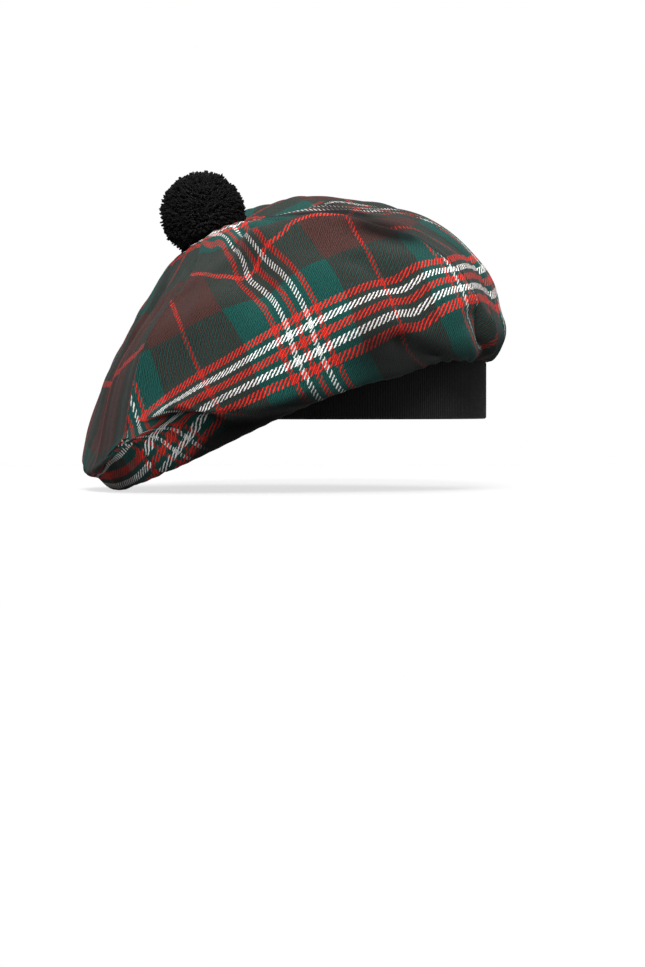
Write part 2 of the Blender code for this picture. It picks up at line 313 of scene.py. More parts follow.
# The lining: its mesh, where it starts as a share of the band's height, where it ends and where its folds
# are free as shares of the dome, and its lean to the left as a share of BAND_RADIUS. Its folds: small ones
# to a large one, how far they are set in as a share, and how far they drop in metres.
LINING_COLUMNS = 600
LINING_ROWS = 43
LINING_FOOT = 0.55
LINING_END = 0.99
LINING_FREE = 0.25
LINING_LEAN = -0.10
SMALL_PLEATS = 2.3
PLEAT_DEPTH = 0.06
PLEAT_DROP = 0.0016
# The pompom's place: its way from the crown's centre, how far as a share of its radius, and a last shift
POMPOM_WAY = (-0.42, 0.0, 0.908)
POMPOM_SEAT = 0.92
POMPOM_NUDGE = (0.0006, 0.0, -0.0021)
# Its core: radius and bumps as shares of POMPOM_RADIUS, and its gap to the cloth in metres
CORE_SHARE = 0.86
CORE_BUMPS = 0.03
CORE_GAP = 0.0006
# Its ends of yarn as shares of POMPOM_RADIUS: where they start and end, how much tufts and chance change
# that, and how far they sway. Then how far chance turns and bends them.
END_ROOT = 0.78
END_REACH = 0.985
END_TUFTS = 0.022
END_LOOSE = 0.028
END_SWAY = 0.10
END_SCATTER = 0.10
END_BEND = 0.35
# An end's radius, the spread of it and its gap to the cloth in metres, its sides, and its rings: share of
# its length, share of its radius
END_RADIUS = 0.00060
END_RADIUS_SPREAD = 0.00014
END_GAP = 0.0016
END_SIDES = 5
END_RINGS = ((0.0, 0.9), (0.82, 1.0), (0.95, 0.8), (1.0, 0.3))
# The floor: half its side, its drop below the hat, where it fades, its least share of see-through
FLOOR_HALF = 6.0
FLOOR_DROP = 0.0005
FLOOR_FADE = (0.25, 0.8)
FLOOR_CLEAR = 0.7
FLOOR_COLOUR = "#F4F4F4"
# The sky's light: the height where it starts to grow, and its strength below that
SKY_FROM = -0.4
SKY_LOW = 0.09
# The lamps: name of the lamp and of the setting with its power, place and width in metres
LAMPS = (
    ("key", (-0.1, -1.5, 1.35), 0.9),
    ("side", (1.5, -0.9, 0.9), 1.2),
    ("top", (0.1, 0.4, 1.9), 1.4),
)
LAMP_AIM = (-0.02, 0.0, 0.05)
# The camera: the place it looks at, its distance, how far it stands over the level, and its scale
CAMERA_TARGET = (-0.0069, 0.0, -0.040)
CAMERA_AWAY = 1.9
CAMERA_RISE = math.radians(1.5)
SENSOR = 36.0
PIXELS_PER_METRE = 1620.0
PICTURE_HEIGHT = 967.0


def colour(code):
    """Linear colour of an sRGB hex code: c / 12.92 where dark, else ((c + 0.055) / 1.055) ^ 2.4."""
    parts = [int(code[i:i + 2], 16) / 255.0 for i in (1, 3, 5)]
    return [c / 12.92 if c <= 0.04045 else ((c + 0.055) / 1.055) ** 2.4 for c in parts] + [1.0]


def smooth(x):
    """Ease from 0 to 1 with level ends: 3 x^2 - 2 x^3."""
    x = np.clip(x, 0.0, 1.0)
    return x * x * (3.0 - 2.0 * x)


def ease(x, ramp):
    """Ease from 0 to 1 along a ramp, which is its start and its length."""
    start, length = ramp
    return smooth((x - start) / length)


def within(x, stretch):
    """Ease up along a stretch's first ramp and down along its second."""
    return ease(x, stretch[:2]) * (1.0 - ease(x, stretch[2:]))


def along(rows, x):
    """Smooth curve through the rows of a table: the first column is x, each other one a value. Between
    two rows it is the cubic with their values and tangents. A tangent is the mean of the slopes on its
    two sides, each weighted by the step on the other side."""
    table = np.array(rows, float)
    xs = table[:, 0]
    ys = table[:, 1:]
    step = np.diff(xs)
    slope = np.diff(ys, axis=0) / step[:, None]
    tangent = np.zeros_like(ys)
    weight = (step[1:] + step[:-1])[:, None]
    tangent[1:-1] = (slope[:-1] * step[1:, None] + slope[1:] * step[:-1, None]) / weight
    tangent[0] = slope[0]
    tangent[-1] = slope[-1]
    flat = x.ravel()
    i = np.clip(np.searchsorted(xs, flat, side="right") - 1, 0, len(xs) - 2)
    h = step[i][:, None]
    t = (flat[:, None] - xs[i][:, None]) / h
    a = (2 * t ** 3 - 3 * t ** 2 + 1) * ys[i] + (t ** 3 - 2 * t ** 2 + t) * h * tangent[i]
    b = (3 * t ** 2 - 2 * t ** 3) * ys[i + 1] + (t ** 3 - t ** 2) * h * tangent[i + 1]
    return np.moveaxis((a + b).reshape(x.shape + (ys.shape[1],)), -1, 0)


def gore_of(around):
    """Number of the gore at a place round the crown, and the share of its width before that place."""
    around = around % GORES
    gore = np.clip(np.floor(around).astype(int), 0, GORES - 1)
    return gore, around - gore


def apart(around, at):
    """Signed distance in gores from one place round the crown to another, by the shorter way."""
    return (around - at + 0.5 * GORES) % GORES - 0.5 * GORES


def crown_rows():
    """The rings in metres, with the last two on the band's top edge: outside it and in over its wall."""
    rows = []
    for row in RINGS:
        reach = [share * CROWN_REACH for share in row[1:5]]
        height = [share * CROWN_HEIGHT for share in row[5:9]]
        rows.append([row[0]] + reach + height)
    lift = BAND_HEIGHT + GAP + EDGE_LIFT * CLOTH
    rows.append([STATION_AT_BAND] + [BAND_RADIUS + SEAM_TURN] * 4 + [lift] * 4)
    rows.append([1.0] + [BAND_RADIUS - EDGE_REACH * BAND_WALL] * 4 + [lift] * 4)
    return rows


def crown_base(around, station):
    """The crown without folds. Each station is an ellipse through its left, right, front and back. Its
    height is their mean plus a cosine and a sine of the angle for the tilt and a cosine of twice the
    angle for the saddle. The seams stand out as corners, and the lobe hangs by a cosine bell of the
    angle from LOBE_ANGLE."""
    gore, share = gore_of(around)
    left, right, front, back, left_up, right_up, front_up, back_up = along(crown_rows(), station)
    hang, stand = along(LOBE + ((1.0, 0.0, 0.0),), station) * CROWN_REACH
    seams = np.radians(np.array(SEAMS, float))
    turned = smooth(station / RIM_STATION)
    first = seams[gore, 0] + (seams[gore, 1] - seams[gore, 0]) * turned
    last = seams[gore + 1, 0] + (seams[gore + 1, 1] - seams[gore + 1, 0]) * turned
    angle = first + (last - first) * share
    c = np.cos(angle)
    s = np.sin(angle)
    corner = 1.0 + CORNER_SHARE * within(station, CORNER_STRETCH) * (1.5 * (2.0 * share - 1.0) ** 2 - 0.5)
    x = 0.5 * (right - left) + 0.5 * (right + left) * c * corner
    y = 0.5 * (back - front) + 0.5 * (back + front) * s * corner
    mean = 0.25 * (left_up + right_up + front_up + back_up)
    saddle = 0.25 * (left_up + right_up - front_up - back_up)
    z = mean + 0.5 * (right_up - left_up) * c + 0.5 * (back_up - front_up) * s
    z = z + saddle * np.cos(2.0 * angle)
    turn = (angle - LOBE_ANGLE + math.pi) % (2.0 * math.pi) - math.pi
    near = 0.5 + 0.5 * np.cos(math.pi * np.clip(turn / LOBE_HALF_ANGLE, -1.0, 1.0))
    return np.stack([x + stand * near * c, y + stand * near * s, z - hang * near], -1)


def fold_lift(around, station):
    """Height of the gores' bellies, each a parabola across its gore, and of the folds in the table."""
    share = gore_of(around)[1]
    belly = 4.0 * share * (1.0 - share) - BELLY_LEVEL
    lift = BELLY_SHARE * CROWN_REACH * belly * within(station, BELLY_STRETCH)
    return lift + folds(FOLDS, around, station)


def folds(table, around, station):
    """Height of a table's folds: each is a bell curve of the distance from a line between two places."""
    lift = 0.0 * around
    for around_1, along_1, around_2, along_2, half_width, height in table:
        run_x = (around_2 - around_1) * GORE_WIDTH
        run_y = along_2 - along_1
        x = apart(around, around_1) * GORE_WIDTH
        y = station * CLOTH_RUN / CROWN_REACH - along_1
        t = np.clip((x * run_x + y * run_y) / (run_x ** 2 + run_y ** 2), 0.0, 1.0)
        off = np.hypot(x - t * run_x, y - t * run_y)
        lift = lift + height * CROWN_REACH * np.exp(-(off / half_width) ** 2)
    return lift


def lip(around, station):
    """How far the cloth has turned under the lip, from 0 to 1, and how deep that is in metres."""
    at, depth = along(LIP, around % GORES)
    return smooth((station - at) * CLOTH_RUN / LIP_TURN), np.maximum(depth, 0.0) * CROWN_REACH


def painted_shade_of(around, station):
    """Painted shade: the share of light left in the cloth's colour, which the tartan multiplies in. It is
    the product of what is left on the plane tucked under the lip, in the wedge behind that plane, towards
    the band and in the creases. The lip's painted shadow on the plane is a bell curve of the distance
    from the lip."""
    around = around % GORES
    turned = lip(around, station)[0]
    past = np.maximum(station - along(LIP, around)[0], 0.0) * CLOTH_RUN
    shadow = PAINTED_SHADOW_UNDER_LIP * np.exp(-(past / LIP_SHADOW) ** 2) * ease(around, LIP_SHADOW_RAMP)
    before_end = 1.0 - ease(around, UNDER_END)
    plane = (PAINTED_PLANE_SHADE + shadow) * turned * ease(around, UNDER_START) * before_end
    wedge_at = np.maximum(WEDGE_STATION - WEDGE_SLANT * (around - WEDGE_START), WEDGE_LEAST)
    wedge = PAINTED_WEDGE_SHADE * smooth((station - wedge_at) / WEDGE_BLUR) * before_end
    band = PAINTED_BAND_SHADE * ease(station, BAND_RAMP)
    crease = np.clip(folds(PAINTED_CREASE_SHADE, around, station) / CROWN_REACH, 0.0, PAINTED_CREASE_LIMIT)
    return (1.0 - plane) * (1.0 - wedge) * (1.0 - band) * (1.0 - crease)


def pulled(gore, around, station):
    """Shift of the pattern in metres where the cloth is pulled out of line: the sum of the table's
    pulls, each under a bell curve of the distance from its place. On the front gore's tucked plane a
    shear, and a slip that falls off evenly round the crown, are added."""
    across = 0.0 * around
    ahead = 0.0 * around
    for only, at, at_station, wide, deep, shift_across, shift_ahead in PULLS:
        if only in (-1, gore):
            x = apart(around, at) / wide
            near = np.exp(-x ** 2 - ((station - at_station) / deep) ** 2)
            across = across + MM * shift_across * near
            ahead = ahead + MM * shift_ahead * near
    if gore == 0:
        turned = lip(around, station)[0] * (1.0 - ease(around, SHEAR_END))
        across = across - UNDER_SHEAR * np.maximum(station - SHEAR_STATION, 0.0) * turned
        ahead = ahead - UNDER_SLIP * np.clip(1.0 - around / SLIP_END, 0.0, 1.0) * turned
    return across, ahead


def fine_lift(around, station, edge):
    """Height of the cloth's fine forms: a bell-shaped dip at each seam, cosines round the crown for the
    gathers at the band and the tucks at the centre, products of sines for the waves between, and a bell
    along the lip for its rolled edge."""
    gore, share = gore_of(around)
    seam = -SEAM_DIP * np.exp(-(edge / SEAM_HALF_WIDTH) ** 2) * within(station, SEAM_STRETCH)
    phase = 2.0 * math.pi * np.array(GATHERS, float)[gore] * share + 1.4 * np.sin(6.0 * math.pi * share)
    uneven = 0.7 + 0.3 * np.cos(4.0 * math.pi * around + 1.0)
    gathers = GATHER_HEIGHT * within(station, GATHER_STRETCH) * np.cos(phase) * uneven
    turn = 2.0 * math.pi * around
    tucks = TUCK_HEIGHT * within(station, TUCK_STRETCH) * np.cos(4.0 * turn)
    waves = np.sin(2.0 * turn + 17.0 * station) * np.sin(3.0 * turn - 23.0 * station + 1.3)
    waves = waves + 0.6 * np.sin(5.0 * turn + 31.0 * station + 0.4) * np.cos(4.0 * turn - 13.0 * station)
    waves = WAVE_HEIGHT * within(station, WAVE_STRETCH) * waves
    off = (station - along(LIP, around % GORES)[0]) * CLOTH_RUN / ROLL_WIDTH + 0.5
    roll = ROLL_SHARE * lip(around, station)[1] * np.exp(-off ** 2)
    return seam + gathers + tucks + roll + waves


def unit(v):
    """Vectors of length 1: each divided by its length."""
    return v / np.maximum(np.linalg.norm(v, axis=-1, keepdims=True), 1e-12)


def out_of(points):
    """Outward directions of a grid of points: along the stations, crossed with around."""
    return unit(np.cross(np.gradient(points, axis=1), np.gradient(points, axis=0)))


def run_of(points, axis):
    """Length of cloth from a grid's first row or column to each point: the sum of the steps."""
    step = np.linalg.norm(np.diff(points, axis=axis), axis=-1)
    return np.insert(np.cumsum(step, axis), 0, 0.0, axis=axis)


def gore_grid(gore, columns, rows):
    """Outer and inner points of one gore, its places in the pattern, the pattern's shift and its painted
    shade.
    A point is the base, moved outwards by the folds and the fine forms, and back under the lip. u is
    the run of cloth across from the gore's middle, v the station's share of CLOTH_RUN, and past
    PATTERN_STATION the run of cloth. A spare column at each side gives the directions and is cut off."""
    share = np.concatenate([[-SPARE_SHARE], np.linspace(0.0, 1.0, columns + 1), [1.0 + SPARE_SHARE]])
    station = STATION_AT_TOP + (1.0 - STATION_AT_TOP) * np.linspace(0.0, 1.0, rows + 1)
    a, s = np.meshgrid(gore + share[1:-1], station, indexing="ij")
    width = np.linalg.norm(np.diff(crown_base(a, s), axis=0), axis=-1).sum(0)
    inset = SEAM_INSET / width
    a = gore + inset + share[:, None] * (1.0 - 2.0 * inset)
    s = station + 0.0 * share[:, None]
    base = crown_base(a, s)
    soft = base + out_of(base) * fold_lift(a, s)[..., None]
    out = out_of(soft)
    edge = np.minimum(np.abs(a - gore), np.abs(gore + 1.0 - a)) * width
    free = 1.0 - ease(s, HELD_RAMP)
    fine = fine_lift(a, s, edge) + folds(SMALL_FOLDS, a, s) * free
    turned, depth = lip(a, s)
    back = np.array([0.0, 1.0, 0.0]) * (depth * turned * free)[..., None]
    points = soft + out * fine[..., None] + back
    inner = soft + out * (np.minimum(fine, 0.0) - CLOTH)[..., None] + back
    u = run_of(soft, 0)
    u = (u - u[columns // 2 + 1]) / CLOTH_STRETCH
    run = run_of(soft, 1)
    last = int(np.argmin(np.abs(station - PATTERN_STATION)))
    v = np.minimum(s, station[last]) * CLOTH_RUN
    v = v + np.maximum(run - run[:, last:last + 1], 0.0) / CLOTH_STRETCH
    across, ahead = pulled(gore, a, s)
    return [grid[1:-1] for grid in (points, inner, u, v, across, ahead, painted_shade_of(a, s))]


def new_object(name, points, faces, uv=None, threads=None):
    """A smooth-shaded mesh object. uv gives each point's place in the pattern, threads its place in
    the weave where that is another one."""
    mesh = bpy.data.meshes.new(name)
    mesh.from_pydata(points.tolist(), [], faces.tolist() if hasattr(faces, "tolist") else faces)
    index = np.zeros(len(mesh.loops), dtype=np.int32)
    mesh.loops.foreach_get("vertex_index", index)
    for map_name, places in (("pattern", uv), ("threads", threads)):
        if places is not None:
            layer = mesh.uv_layers.new(name=map_name)
            layer.data.foreach_set("uv", places[index].astype(np.float32).ravel())
    mesh.polygons.foreach_set("use_smooth", np.ones(len(mesh.polygons), dtype=bool))
    mesh.update()
    thing = bpy.data.objects.new(name, mesh)
    bpy.context.collection.objects.link(thing)
    return thing


def sheet_faces(n, m, ring=False):
    """Quads of a closed sheet: an outer grid of n by m points, an inner one and the edges between. Point
    j of column i has the number i m + j, and in a ring the last column is joined to the first."""
    i, j = np.meshgrid(np.arange(n if ring else n - 1), np.arange(m - 1), indexing="ij")
    k = (i + 1) % n
    outer = np.stack([i * m + j, i * m + j + 1, k * m + j + 1, k * m + j], -1).reshape(-1, 4)
    half = n * m
    parts = [outer, half + outer[:, ::-1]]
    i = np.arange(n if ring else n - 1)
    k = (i + 1) % n
    parts.append(np.stack([i * m, k * m, half + k * m, half + i * m], -1))
    parts.append(np.stack([half + i * m + m - 1, half + k * m + m - 1, k * m + m - 1, i * m + m - 1], -1))
    if not ring:
        j = np.arange(m - 1)
        last = (n - 1) * m
        parts.append(np.stack([j + 1, j, half + j, half + j + 1], -1))
        parts.append(np.stack([last + j, last + j + 1, half + last + j + 1, half + last + j], -1))
    return np.concatenate(parts)


def grid_uv(u, v):
    """The pattern places of a closed sheet's points, outer and inner."""
    both = np.stack([u, v], -1).reshape(-1, 2)
    return np.concatenate([both, both])


def add_node(tree, kind, inputs=(), output=0, **settings):
    """Add one node to a node tree: its settings are set, an input that is a socket is linked, and any
    other input is set. Returns the output asked for, or the node itself for None."""
    made = tree.nodes.new(kind)
    for name, value in settings.items():
        setattr(made, name, value)
    pairs = inputs.items() if isinstance(inputs, dict) else enumerate(inputs)
    for key, value in pairs:
        if isinstance(value, bpy.types.NodeSocket):
            tree.links.new(value, made.inputs[key])
        else:
            made.inputs[key].default_value = value
    return made if output is None else made.outputs[output]


def new_material(name):
    """An empty material, and the function that adds nodes to it."""
    material = bpy.data.materials.new(name)
    material.use_nodes = True
    material.node_tree.nodes.clear()
    return material, functools.partial(add_node, material.node_tree)


def striped(add, ground, at, half_repeat, step, halves, red, white):
    """Thread colours of one direction. By distance from the middle of the nearest cluster: red at 0 and
    at two steps, white at one step, one more red line half a repeat away, and the ground elsewhere."""
    red_half, white_half, line_half = halves
    lines = (
        (0.0, red_half, red),
        (2.0 * step, red_half, red),
        (half_repeat, line_half, red),
        (step, white_half, white),
    )
    for middle, half, thread in lines:
        inside = add("ShaderNodeMath", (at, middle, half), operation="COMPARE")
        ground = add("ShaderNodeMix", {0: inside, 6: ground, 7: thread}, 2, data_type="RGBA")
    return ground


def thread_colours(add, settings, at):
    """Colours of the warp and of the weft, and the share of light that their grounds keep. A ground is
    green near the middle of a cluster and brown elsewhere, with a fifth of the other direction's ground
    in it. Where one is green and the other brown, both are darker."""
    threads = (settings.green, settings.brown, settings.red, settings.white)
    green, brown, red, white = [tuple(thread) for thread in threads]
    place = add("ShaderNodeSeparateXYZ", (add("ShaderNodeUVMap", uv_map="pattern"),), None).outputs
    loose = add("ShaderNodeTexNoise", {"Vector": at, "Scale": LOOSE_NOISE, "Detail": 2.0})
    wobble = add("ShaderNodeMapRange", {"Value": loose, "To Min": -LINE_WOBBLE, "To Max": LINE_WOBBLE})
    u = add("ShaderNodeMath", (place[0], wobble), operation="ADD")
    v = add("ShaderNodeMath", (place[1], wobble), operation="ADD")
    v = add("ShaderNodeMath", (v, PATTERN_RING), operation="SUBTRACT")
    from_u = add("ShaderNodeMath", (u, settings.half_across), operation="PINGPONG")
    from_v = add("ShaderNodeMath", (v, settings.half_along), operation="PINGPONG")
    near_u = add("ShaderNodeMath", (from_u, GREEN_ACROSS), operation="LESS_THAN")
    near_v = add("ShaderNodeMath", (from_v, GREEN_ALONG), operation="LESS_THAN")
    ground_u = add("ShaderNodeMix", {0: near_u, 6: brown, 7: green}, 2, data_type="RGBA")
    ground_v = add("ShaderNodeMix", {0: near_v, 6: brown, 7: green}, 2, data_type="RGBA")
    warp = add("ShaderNodeMix", {0: GROUND_MIX, 6: ground_u, 7: ground_v}, 2, data_type="RGBA")
    weft = add("ShaderNodeMix", {0: GROUND_MIX, 6: ground_v, 7: ground_u}, 2, data_type="RGBA")
    dim_red = tuple(settings.warp_light * c for c in red[:3]) + (1.0,)
    dim_white = tuple(settings.warp_light * c for c in white[:3]) + (1.0,)
    warp = striped(add, warp, from_u, settings.half_across, WARP_STEP, WARP_HALVES, dim_red, dim_white)
    weft = striped(add, weft, from_v, settings.half_along, WEFT_STEP, WEFT_HALVES, red, white)
    crossed = add("ShaderNodeMath", (near_u, near_v), operation="SUBTRACT")
    crossed = add("ShaderNodeMath", (crossed,), operation="ABSOLUTE")
    kept = add("ShaderNodeMath", (crossed, -CROSSED_LOSS, 1.0), operation="MULTIPLY_ADD")
    return warp, weft, kept


def tartan(settings):
    """Wool-blend twill: every thread has the colour of its stripe, and a 2/2 twill decides which of two
    crossing threads shows, by the fraction of (u + TWILL_SLOPE v) / repeat. Each stroke has painted
    shade: brightest on its crest and darker to its sides. The colour's brightness is the product of that,
    the fibres' noise, the worn patches, the piece's painted shade and what the ground keeps."""
    material, add = new_material("tartan_twill")
    at = add("ShaderNodeUVMap", uv_map="threads")
    warp, weft, ground_light = thread_colours(add, settings, at)
    thread = add("ShaderNodeSeparateXYZ", (at,), None).outputs
    grain = add("ShaderNodeTexNoise", {"Vector": at, "Scale": THREAD_NOISE, "Detail": 2.0})
    grain = add("ShaderNodeMapRange", {"Value": grain, "To Min": -THREAD_WOBBLE, "To Max": THREAD_WOBBLE})
    slant = add("ShaderNodeMath", (thread[1], TWILL_SLOPE, thread[0]), operation="MULTIPLY_ADD")
    slant = add("ShaderNodeMath", (slant, grain), operation="ADD")
    slant = add("ShaderNodeMath", (slant, settings.twill), operation="DIVIDE")
    slant = add("ShaderNodeMath", (slant,), operation="FRACT")
    over = add("ShaderNodeMath", (slant, settings.weft_share), operation="LESS_THAN")
    shade = add("ShaderNodeMix", {0: over, 6: warp, 7: weft}, 2, data_type="RGBA")
    on_weft = add("ShaderNodeMath", (slant, settings.weft_share), operation="DIVIDE")
    on_warp = add("ShaderNodeMapRange", {"Value": slant, "From Min": settings.weft_share})
    stroke = add("ShaderNodeMix", {0: over, 2: on_warp, 3: on_weft}, data_type="FLOAT")
    rise = add("ShaderNodeMath", (stroke, 0.5), operation="PINGPONG")
    fibre = add("ShaderNodeTexNoise", {"Vector": at, "Scale": FIBRE_NOISE, "Detail": 3.0, "Roughness": 0.6})
    cloud = add("ShaderNodeTexNoise", {"Vector": at, "Scale": WORN_NOISE, "Detail": 3.0, "Roughness": 0.6})
    # Painted shade of the weave: each stroke brightest on its crest and darker to its sides
    light = add("ShaderNodeMapRange", {"Value": rise, "From Max": 0.34, "To Min": 0.10, "To Max": 1.20})
    fuzz = add("ShaderNodeMapRange", {"Value": fibre, "To Min": 0.70, "To Max": 1.30})
    worn = add("ShaderNodeMapRange", {"Value": cloud, "To Min": 0.86, "To Max": 1.14})
    # Painted shade from the mesh's attribute, multiplied into the colour
    kept = add("ShaderNodeAttribute", (), "Fac", attribute_name="shade")
    for share in (fuzz, worn, kept, ground_light):
        light = add("ShaderNodeMath", (light, share), operation="MULTIPLY")
    shade = add("ShaderNodeVectorMath", {0: shade, "Scale": light}, operation="SCALE")
    height = add("ShaderNodeMath", (fibre, 0.25, rise), operation="MULTIPLY_ADD")
    normal = add("ShaderNodeBump", {"Height": height, "Strength": 0.45, "Distance": 0.0007})
    # Napped wool: matt, with a very weak sheen at the edges, so the stripes keep their colour at any angle
    surface = add("ShaderNodeBsdfPrincipled", {
        "Base Color": shade, "Roughness": 0.92, "Specular IOR Level": 0.15,
        "Sheen Weight": 0.04, "Sheen Roughness": 0.5, "Normal": normal,
    })
    add("ShaderNodeOutputMaterial", (surface,), None)
    return material


def knit(settings):
    """Black ribbed knit. The stitches are V shaped: height is a zigzag of v plus a zigzag of u. The same
    zigzag paints each stitch lighter on its crest and darker in its hollows, as painted shade.
    """
    material, add = new_material("black_knit")
    at = add("ShaderNodeUVMap", uv_map="pattern")
    place = add("ShaderNodeSeparateXYZ", (at,), None).outputs
    slant = add("ShaderNodeMath", (place[0], STITCH), operation="PINGPONG")
    slant = add("ShaderNodeMath", (slant, place[1]), operation="ADD")
    slant = add("ShaderNodeMath", (slant, STITCH), operation="DIVIDE")
    stitch = add("ShaderNodeMath", (slant, 0.5), operation="PINGPONG")
    fibre = add("ShaderNodeTexNoise", {"Vector": at, "Scale": FIBRE_NOISE, "Detail": 3.0, "Roughness": 0.6})
    # Painted shade of the stitches: lighter on the crest, darker in the hollows
    light = add("ShaderNodeMapRange", {"Value": stitch, "To Min": 0.75, "To Max": 1.35})
    fuzz = add("ShaderNodeMapRange", {"Value": fibre, "To Min": 0.6, "To Max": 1.4})
    light = add("ShaderNodeMath", (light, fuzz), operation="MULTIPLY")
    shade = add("ShaderNodeVectorMath", {0: tuple(settings.knit)[:3], "Scale": light}, operation="SCALE")
    height = add("ShaderNodeMath", (fibre, 0.4, stitch), operation="MULTIPLY_ADD")
    normal = add("ShaderNodeBump", {"Height": height, "Strength": 0.5, "Distance": 0.0005})
    # Acrylic knit: matt black with a little fuzz that catches light at the edges
    surface = add("ShaderNodeBsdfPrincipled", {
        "Base Color": shade, "Roughness": 0.85, "Specular IOR Level": 0.2,
        "Sheen Weight": 0.1, "Normal": normal,
    })
    add("ShaderNodeOutputMaterial", (surface,), None)
    return material


def satin():
    """Dark satin lining: two near colours mixed by a slow noise, with a zigzag of u as its threads."""
    material, add = new_material("dark_satin")
    at = add("ShaderNodeUVMap", uv_map="pattern")
    place = add("ShaderNodeSeparateXYZ", (at,), None).outputs
    threads = add("ShaderNodeMath", (place[0], SATIN_THREAD), operation="PINGPONG")
    threads = add("ShaderNodeMath", (threads, SATIN_THREAD), operation="DIVIDE")
    cloud = add("ShaderNodeTexNoise", {"Vector": at, "Scale": CLOUD_NOISE, "Detail": 3.0, "Roughness": 0.55})
    dark, pale = [colour(code) for code in SATIN_COLOURS]
    shade = add("ShaderNodeMix", {0: cloud, 6: dark, 7: pale}, 2, data_type="RGBA")
    height = add("ShaderNodeMath", (threads, 0.5, cloud), operation="MULTIPLY_ADD")
    normal = add("ShaderNodeBump", {"Height": height, "Strength": 0.2, "Distance": 0.0003})
    # Polyester satin: smooth floats of thread, so its folds shine softly
    surface = add("ShaderNodeBsdfPrincipled", {
        "Base Color": shade, "Roughness": 0.32, "Specular IOR Level": 0.6,
        "Sheen Weight": 0.15, "Normal": normal,
    })
    add("ShaderNodeOutputMaterial", (surface,), None)
    return material


def yarn():
    """Black wool yarn: two blacks mixed by the product of a fine and a coarse noise."""
    material, add = new_material("black_yarn")
    at = add("ShaderNodeTexCoord", (), "Object")
    fibre = add("ShaderNodeTexNoise", {"Vector": at, "Scale": YARN_NOISE, "Detail": 3.0, "Roughness": 0.65})
    lumps = add("ShaderNodeTexNoise", {"Vector": at, "Scale": LOOSE_NOISE, "Detail": 2.0})
    both = add("ShaderNodeMath", (fibre, lumps), operation="MULTIPLY")
    deep, black = [colour(code) for code in YARN_COLOURS]
    shade = add("ShaderNodeMix", {0: both, 6: deep, 7: black}, 2, data_type="RGBA")
    normal = add("ShaderNodeBump", {"Height": fibre, "Strength": 0.6, "Distance": 0.0006})
    # Cut wool: matt and very dark, because light is lost between the ends
    surface = add("ShaderNodeBsdfPrincipled", {
        "Base Color": shade, "Roughness": 0.95, "Specular IOR Level": 0.12,
        "Sheen Weight": 0.06, "Normal": normal,
    })
    add("ShaderNodeOutputMaterial", (surface,), None)
    return material


def studio_floor():
    """Pale studio floor: its share of see-through grows with the distance from the hat, is at least
    FLOOR_CLEAR, and is 1 from behind, so that the hat shows from below."""
    material, add = new_material("studio_floor")
    at = add("ShaderNodeTexCoord", (), "Object")
    far = add("ShaderNodeVectorMath", {0: at}, "Value", operation="LENGTH")
    near_edge, far_edge = FLOOR_FADE
    faded = add("ShaderNodeMapRange", {"Value": far, "From Min": near_edge, "From Max": far_edge})
    faded = add("ShaderNodeMath", (faded, FLOOR_CLEAR), operation="MAXIMUM")
    behind = add("ShaderNodeNewGeometry", (), "Backfacing")
    clear_share = add("ShaderNodeMath", (faded, behind), operation="MAXIMUM")
    # Matt paint: no shine, only a soft shadow of the hat
    paint = add("ShaderNodeBsdfPrincipled", {"Base Color": colour(FLOOR_COLOUR), "Roughness": 0.9})
    clear = add("ShaderNodeBsdfTransparent")
    both = add("ShaderNodeMixShader", (clear_share, paint, clear))
    add("ShaderNodeOutputMaterial", (both,), None)
    return material


def make_crown(settings):
    """The six gores, each a closed sheet of cloth between its outer and its inner grid of points. The
    flat size is the longest run across and along, and the area the sum of the mesh's cells."""
    cloth = tartan(settings)
    rows = settings.rows
    for gore in range(GORES):
        columns = settings.columns * (2 if gore == 0 else 1)
        points, inner, u, v, across, ahead, shade = gore_grid(gore, columns, rows)
        both = np.concatenate([points.reshape(-1, 3), inner.reshape(-1, 3)])
        uv = grid_uv(u + across + MM * PATTERN_SHIFTS[gore], v + ahead)
        faces = sheet_faces(columns + 1, rows + 1)
        panel = new_object("gore_%d" % (gore + 1), both, faces, uv, grid_uv(u, v))
        # Painted shade, darker under the lip, in the wedge, towards the band and in creases, kept on the
        # points for the tartan
        kept = panel.data.attributes.new("shade", "FLOAT", "POINT")
        kept.data.foreach_set("value", np.concatenate([shade.ravel(), shade.ravel()]).astype(np.float32))
        panel.data.materials.append(cloth)
        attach(panel, "root")
        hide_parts("crown_panel_%d" % (gore + 1))
        side = np.linalg.norm(np.diff(points, axis=0), axis=-1)
        step = np.linalg.norm(np.diff(points, axis=1), axis=-1)
        area = float((0.5 * (side[:, 1:] + side[:, :-1]) * 0.5 * (step[1:] + step[:-1])).sum())
        flat = (float(side.sum(0).max()), float(step.sum(1).max()))
        area = min(area, FLAT_SHARE * flat[0] * flat[1])


def band_profile():
    """Radius, height and share of the ribs' depth round the band's section: up the outside, round a
    quarter circle at the top edge, down the inside and round the same quarter circle at the foot."""
    inside = BAND_RADIUS - BAND_WALL
    face = [(BAND_RADIUS, z, 1.0) for z in np.linspace(BAND_EDGE, BAND_HEIGHT - BAND_EDGE, 15)]
    top = []
    for t in np.linspace(0.25, 1.0, 4):
        over = BAND_EDGE * (1.0 - math.cos(0.5 * math.pi * t))
        under = BAND_EDGE * (1.0 - math.sin(0.5 * math.pi * t))
        top.append((BAND_RADIUS - over, BAND_HEIGHT - under, EDGE_RIB * (1.0 - t)))
    foot = [(r, BAND_HEIGHT - z, share) for r, z, share in reversed(top)]
    lining_side = [(inside, z, 0.0) for z in np.linspace(BAND_HEIGHT - INNER_DROP, INNER_DROP, 8)]
    rim = [(inside + INNER_STEP, BAND_HEIGHT, 0.0)]
    sole = [(inside + INNER_STEP, 0.0, 0.0)]
    return face + top + rim + lining_side + sole + foot


